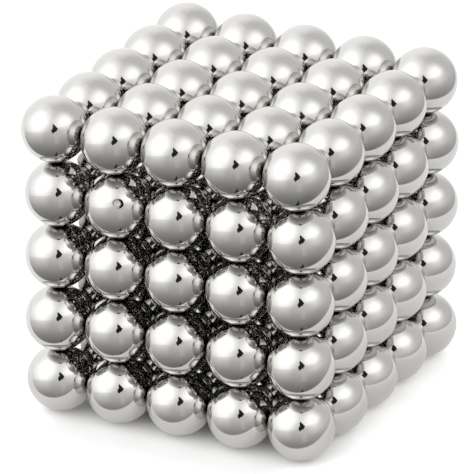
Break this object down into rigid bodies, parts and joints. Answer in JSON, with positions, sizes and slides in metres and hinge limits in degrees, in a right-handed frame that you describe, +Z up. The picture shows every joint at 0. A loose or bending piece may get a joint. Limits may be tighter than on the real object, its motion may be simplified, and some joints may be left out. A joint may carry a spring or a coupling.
{
  "type": "cube of ball magnets",
  "caption": "Cube of bright nickel-plated neodymium ball magnets in square rows and layers, held together by their own pull, as a desk toy or a stock of small magnets.",
  "frame": {"origin": "middle of the cube's underside, where the lowest layer of balls rests", "axes": "+X along the rows of the front face, +Y to the back, +Z up through the layers"},
  "size_m": [0.0254, 0.0254, 0.025],
  "materials": {
    "nickel_plating": "bright nickel plating, mirror smooth"
  },
  "bodies": {
    "root": {"layer_1_row_1": "nickel_plating", "layer_1_row_2": "nickel_plating", "layer_1_row_3": "nickel_plating", "layer_1_row_4": "nickel_plating", "layer_1_row_5": "nickel_plating", "layer_2_row_1": "nickel_plating", "layer_2_row_2": "nickel_plating", "layer_2_row_3": "nickel_plating", "layer_2_row_4": "nickel_plating", "layer_2_row_5": "nickel_plating", "layer_3_row_1": "nickel_plating", "layer_3_row_2": "nickel_plating", "layer_3_row_3": "nickel_plating", "layer_3_row_4": "nickel_plating", "layer_3_row_5": "nickel_plating", "layer_4_row_1": "nickel_plating", "layer_4_row_2": "nickel_plating", "layer_4_row_3": "nickel_plating", "layer_4_row_4": "nickel_plating", "layer_4_row_5": "nickel_plating", "layer_5_row_1": "nickel_plating", "layer_5_row_2": "nickel_plating", "layer_5_row_3": "nickel_plating", "layer_5_row_4": "nickel_plating", "layer_5_row_5": "nickel_plating"}
  },
  "joints": []
}
